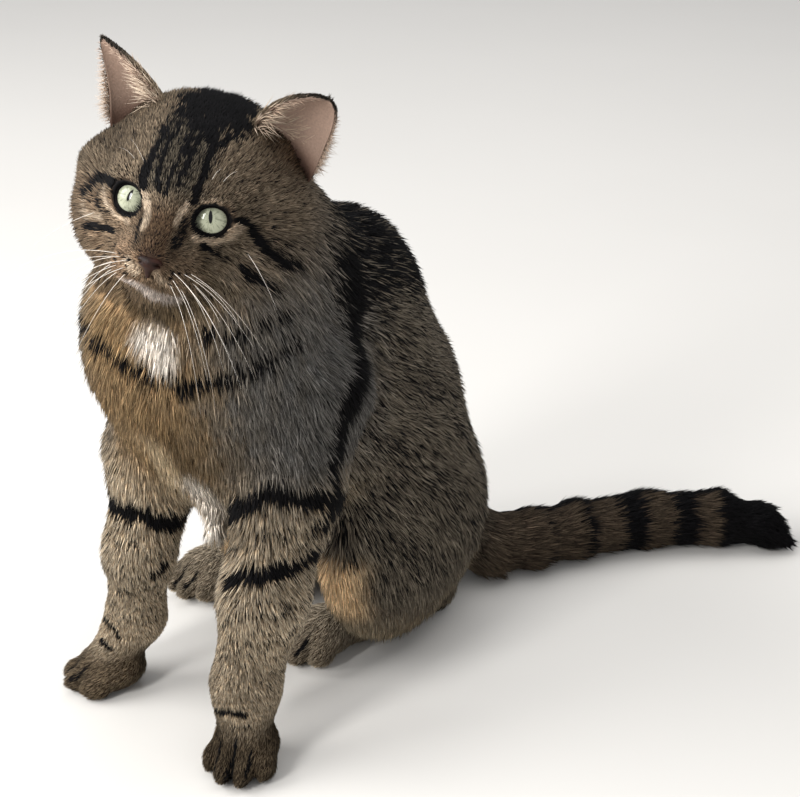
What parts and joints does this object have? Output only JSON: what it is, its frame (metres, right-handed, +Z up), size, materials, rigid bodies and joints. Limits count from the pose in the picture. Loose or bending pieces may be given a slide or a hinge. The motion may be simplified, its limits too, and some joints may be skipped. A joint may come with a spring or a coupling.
{
  "type": "domestic cat",
  "caption": "Sitting brown mackerel tabby domestic cat, life size, still, with its tail laid out along the floor and its head turned a little to its left.",
  "frame": {"origin": "on the floor under the middle of the model's box", "axes": "+Z up, -Y the way the body faces, +X the cat's left side"},
  "size_m": [0.2868, 0.4006, 0.3551],
  "materials": {
    "body_coat": "matt short fur, grey-brown tabby with a near black saddle",
    "front_coat": "matt short fur, buff-grey tabby with black bands",
    "head_coat": "matt short fur, grey-brown tabby",
    "paw_coat": "matt short fur, grey-buff tabby",
    "tail_coat": "matt short fur, ringed grey and black, black tip",
    "ear": "thin pinkish skin with fine hair, dark behind",
    "eye": "wet gloss, pale grey-green iris, black slit pupil",
    "nose": "satin, brick brown",
    "claw": "horn, pale and translucent"
  },
  "bodies": {
    "root": {"chest": "front_coat", "ear_left": "ear", "ear_right": "ear", "eye_left": "eye", "eye_right": "eye", "face": "head_coat", "foreleg_left": "front_coat", "foreleg_right": "front_coat", "forepaw_left": "paw_coat", "forepaw_left_claw_1": "claw", "forepaw_left_claw_2": "claw", "forepaw_left_claw_3": "claw", "forepaw_left_claw_4": "claw", "forepaw_right": "paw_coat", "forepaw_right_claw_1": "claw", "forepaw_right_claw_2": "claw", "forepaw_right_claw_3": "claw", "forepaw_right_claw_4": "claw", "head": "head_coat", "hind_foot_left": "paw_coat", "hind_foot_right": "paw_coat", "hind_paw_left": "paw_coat", "hind_paw_left_claw_1": "claw", "hind_paw_left_claw_2": "claw", "hind_paw_left_claw_3": "claw", "hind_paw_left_claw_4": "claw", "hind_paw_right": "paw_coat", "hind_paw_right_claw_1": "claw", "hind_paw_right_claw_2": "claw", "hind_paw_right_claw_3": "claw", "hind_paw_right_claw_4": "claw", "loin": "body_coat", "neck": "body_coat", "nose": "nose", "rump": "body_coat", "tail_base": "tail_coat", "tail_far": "tail_coat", "tail_near": "tail_coat", "tail_tip": "tail_coat", "thigh_left": "body_coat", "thigh_right": "body_coat"}
  },
  "joints": []
}
